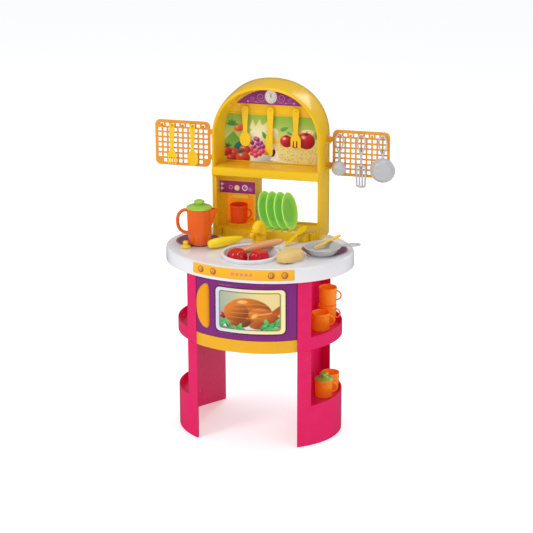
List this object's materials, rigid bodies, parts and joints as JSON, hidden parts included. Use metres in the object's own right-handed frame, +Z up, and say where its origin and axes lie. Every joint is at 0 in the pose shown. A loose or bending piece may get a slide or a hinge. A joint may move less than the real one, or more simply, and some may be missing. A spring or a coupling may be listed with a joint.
{
  "type": "toy kitchen",
  "caption": "Play kitchen with shelf towers, an oven with a side-hinged door, an oval worktop with sink and hobs, an arched back wall and swing-out racks with tableware.",
  "frame": {"origin": "on the floor under the middle of the overall box", "axes": "+Z up, the front with the oven door faces -Y, +X to the right seen from the front"},
  "size_m": [0.713, 0.4082, 1],
  "materials": {
    "pink_plastic": "glossy moulded plastic",
    "dark_purple_plastic": "matt moulded plastic",
    "yellow_plastic": "glossy moulded plastic",
    "steel_pin": "plain pins",
    "white_plastic": "glossy moulded plastic with fine speckle",
    "purple_plastic": "glossy moulded plastic",
    "hob_print": "smooth printed film",
    "label_print": "smooth printed film",
    "purple_print": "smooth printed film",
    "silver_plastic": "grey metallic moulded plastic",
    "orange_plastic": "glossy moulded plastic",
    "teapot_plastic": "glossy moulded plastic",
    "green_plastic": "slightly see-through moulded plastic",
    "red_plastic": "glossy blow-moulded plastic",
    "sausage_plastic": "glossy blow-moulded plastic",
    "bread_plastic": "satin blow-moulded plastic"
  },
  "bodies": {
    "root": {"left_tower_lower": "pink_plastic", "left_tower_upper": "pink_plastic", "right_tower_lower": "pink_plastic", "right_tower_upper": "pink_plastic", "tower_clips": "pink_plastic", "oven_housing": "dark_purple_plastic", "oven_band": "yellow_plastic", "door_hinge_pins": "steel_pin", "worktop": "white_plastic", "worktop_skirt": "white_plastic", "sink_basin": "white_plastic", "hob_discs": "hob_print", "control_label": "label_print", "plate_stand": "yellow_plastic", "arch_frame": "yellow_plastic", "back_panel": "yellow_plastic", "food_picture": "label_print", "clock_picture": "purple_print", "shelf_board": "yellow_plastic", "drinks_machine": "yellow_plastic", "drinks_label": "purple_print", "rack_brackets": "yellow_plastic", "faucet_base": "yellow_plastic", "panel_spoon": "yellow_plastic", "panel_knife": "yellow_plastic", "panel_fork": "yellow_plastic", "leaning_spoon": "yellow_plastic", "tomatoes": "red_plastic", "corn_cob": "yellow_plastic", "sausage": "sausage_plastic", "bread_bun": "bread_plastic", "salt_shaker": "yellow_plastic"},
    "oven_door": {"oven_door": "purple_plastic", "window_frame": "silver_plastic", "window_picture": "label_print", "door_handle": "yellow_plastic"},
    "left_rack": {"left_rack": "orange_plastic", "rack_fork": "yellow_plastic", "rack_spoon": "yellow_plastic"},
    "right_rack": {"right_rack": "orange_plastic", "ladle": "silver_plastic", "slotted_turner": "silver_plastic", "hanging_pan": "silver_plastic"},
    "faucet_spout": {"faucet_spout": "yellow_plastic"},
    "faucet_knob": {"faucet_knob": "yellow_plastic"},
    "teapot": {"teapot": "teapot_plastic"},
    "teapot_lid": {"teapot_lid": "green_plastic"},
    "machine_cup": {"machine_cup": "orange_plastic"},
    "plate_1": {"plate_1": "green_plastic"},
    "plate_2": {"plate_2": "green_plastic"},
    "plate_3": {"plate_3": "green_plastic"},
    "plate_4": {"plate_4": "green_plastic"},
    "stacked_cup_top": {"stacked_cup_top": "orange_plastic"},
    "stacked_cup_bottom": {"stacked_cup_bottom": "orange_plastic"},
    "front_cup": {"front_cup": "orange_plastic"},
    "lower_cup": {"lower_cup": "orange_plastic"},
    "sugar_bowl": {"sugar_bowl": "orange_plastic"},
    "sugar_lid": {"sugar_lid": "green_plastic"},
    "frying_pan": {"frying_pan": "silver_plastic", "pan_knife": "yellow_plastic"}
  },
  "joints": [
    {"name": "oven_door_hinge", "type": "hinge", "parent": "root", "child": "oven_door", "pos_m": [0.1325, -0.1548, 0.416], "axis": [0, 0, 1], "range_deg": [0, 95]},
    {"name": "left_rack_hinge", "type": "hinge", "parent": "root", "child": "left_rack", "pos_m": [-0.1805, 0.1375, 0.8], "axis": [0, 0, 1], "range_deg": [-90, 40]},
    {"name": "right_rack_hinge", "type": "hinge", "parent": "root", "child": "right_rack", "pos_m": [0.1635, 0.1375, 0.8], "axis": [0, 0, 1], "range_deg": [-40, 90]},
    {"name": "faucet_swivel", "type": "hinge", "parent": "root", "child": "faucet_spout", "pos_m": [-0.0115, 0.03, 0.576], "axis": [0, 0, 1], "range_deg": [-60, 60]},
    {"name": "faucet_knob_turn", "type": "hinge", "parent": "root", "child": "faucet_knob", "pos_m": [-0.0325, 0.03, 0.567], "axis": [-1, 0, 0], "range_deg": [-90, 90]},
    {"name": "teapot_lift", "type": "slide", "parent": "root", "child": "teapot", "axis": [0, 0, 1], "range_m": [0, 0.12]},
    {"name": "teapot_lid_lift", "type": "slide", "parent": "teapot", "child": "teapot_lid", "axis": [0, 0, 1], "range_m": [0, 0.08]},
    {"name": "machine_cup_out", "type": "slide", "parent": "root", "child": "machine_cup", "axis": [0, -1, 0], "range_m": [0, 0.09]},
    {"name": "plate_1_lift", "type": "slide", "parent": "root", "child": "plate_1", "axis": [-0.2228, 0.0313, 0.9744], "range_m": [0, 0.04]},
    {"name": "plate_2_lift", "type": "slide", "parent": "root", "child": "plate_2", "axis": [-0.2228, 0.0313, 0.9744], "range_m": [0, 0.04]},
    {"name": "plate_3_lift", "type": "slide", "parent": "root", "child": "plate_3", "axis": [-0.2228, 0.0313, 0.9744], "range_m": [0, 0.04]},
    {"name": "plate_4_lift", "type": "slide", "parent": "root", "child": "plate_4", "axis": [-0.2228, 0.0313, 0.9744], "range_m": [0, 0.04]},
    {"name": "stacked_cup_top_lift", "type": "slide", "parent": "stacked_cup_bottom", "child": "stacked_cup_top", "axis": [0, 0, 1], "range_m": [0, 0.06]},
    {"name": "stacked_cup_bottom_lift", "type": "slide", "parent": "root", "child": "stacked_cup_bottom", "axis": [0, 0, 1], "range_m": [0, 0.05]},
    {"name": "front_cup_lift", "type": "slide", "parent": "root", "child": "front_cup", "axis": [0, 0, 1], "range_m": [0, 0.12]},
    {"name": "lower_cup_lift", "type": "slide", "parent": "root", "child": "lower_cup", "axis": [0, 0, 1], "range_m": [0, 0.1]},
    {"name": "sugar_bowl_lift", "type": "slide", "parent": "root", "child": "sugar_bowl", "axis": [0, 0, 1], "range_m": [0, 0.07]},
    {"name": "sugar_lid_lift", "type": "slide", "parent": "sugar_bowl", "child": "sugar_lid", "axis": [0, 0, 1], "range_m": [0, 0.05]},
    {"name": "frying_pan_lift", "type": "slide", "parent": "root", "child": "frying_pan", "axis": [0, 0, 1], "range_m": [0, 0.12]}
  ]
}
